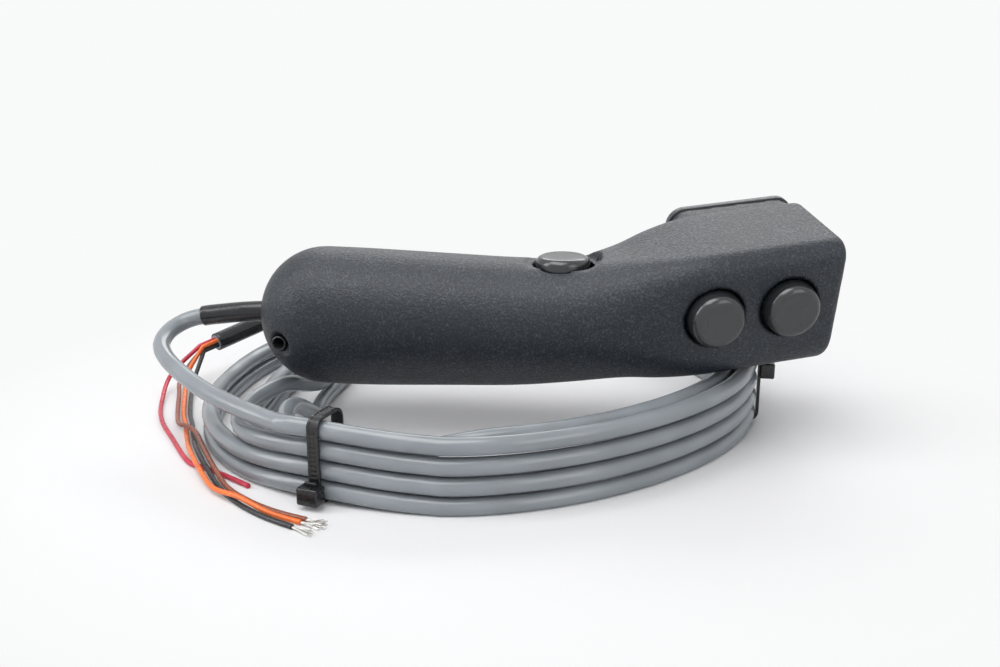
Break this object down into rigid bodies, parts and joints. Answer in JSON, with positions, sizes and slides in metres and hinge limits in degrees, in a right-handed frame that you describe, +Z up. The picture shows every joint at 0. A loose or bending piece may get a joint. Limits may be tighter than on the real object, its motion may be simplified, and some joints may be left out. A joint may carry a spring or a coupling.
{
  "type": "handheld control unit",
  "caption": "Handheld control unit with push buttons, a textured black grip and a coiled, tied grey cable with bare-ended conductors",
  "frame": {"origin": "centre of the handle's rear end, on the handle's axis, where the cable leaves", "axes": "+X along the handle to the head, +Y to the head's cover plate, +Z up from the surface that the coil lies on"},
  "size_m": [0.2213, 0.188, 0.0709],
  "materials": {
    "textured_plastic": "fine moulded grain",
    "plate_plastic": "smooth satin",
    "cap_rubber": "satin",
    "seal_rubber": "matte",
    "shrink_sleeve": "smooth, semi-gloss",
    "grey_jacket": "smooth, slightly wavy, semi-gloss",
    "tie_nylon": "ribbed on the strap",
    "screw_steel": "turned",
    "spring_steel": "drawn wire",
    "switch_body_plastic": "smooth",
    "plunger_plastic": "smooth",
    "contact_brass": "drawn",
    "nut_brass": "plated",
    "red_insulation": "smooth",
    "orange_insulation": "smooth",
    "brown_insulation": "smooth",
    "black_insulation": "smooth",
    "tinned_strands": "tinned"
  },
  "bodies": {
    "unit": {"housing": "textured_plastic", "cover_plate": "plate_plastic", "cover_gasket": "seal_rubber", "cover_screws": "screw_steel", "left_switch": "switch_body_plastic", "right_switch": "switch_body_plastic", "top_switch": "switch_body_plastic", "switch_nuts": "nut_brass", "switch_seals": "seal_rubber", "switch_terminals": "contact_brass", "left_spring": "spring_steel", "right_spring": "spring_steel", "top_spring": "spring_steel", "exit_sleeve": "shrink_sleeve", "clamp_block": "switch_body_plastic", "clamp_saddle": "switch_body_plastic", "clamp_screws": "screw_steel", "hollow_pin": "plate_plastic", "inner_cable": "grey_jacket", "switch_leads": "black_insulation", "cable_lead": "grey_jacket", "cable_coil": "grey_jacket", "cable_tail": "grey_jacket", "tail_sleeve": "shrink_sleeve", "wire_red": "red_insulation", "wire_orange": "orange_insulation", "wire_brown": "brown_insulation", "wire_black": "black_insulation", "wire_ends": "tinned_strands", "front_tie": "tie_nylon", "rear_tie": "tie_nylon"},
    "left_button": {"left_cap": "cap_rubber", "left_plunger": "plunger_plastic"},
    "right_button": {"right_cap": "cap_rubber", "right_plunger": "plunger_plastic"},
    "top_button": {"top_cap": "cap_rubber", "top_plunger": "plunger_plastic"}
  },
  "joints": [
    {"name": "left_press", "type": "slide", "parent": "unit", "child": "left_button", "axis": [-0.3629, 0.9111, 0.1953], "range_m": [0, 0.0018], "stiffness_N_per_m": 900, "springref_m": -0.0012, "deforming": ["left_spring"]},
    {"name": "right_press", "type": "slide", "parent": "unit", "child": "right_button", "axis": [-0.3629, 0.9111, 0.1953], "range_m": [0, 0.0018], "stiffness_N_per_m": 900, "springref_m": -0.0012, "deforming": ["right_spring"]},
    {"name": "top_press", "type": "slide", "parent": "unit", "child": "top_button", "axis": [0, 0, -1], "range_m": [0, 0.0018], "stiffness_N_per_m": 900, "springref_m": -0.0012, "deforming": ["top_spring"]}
  ]
}
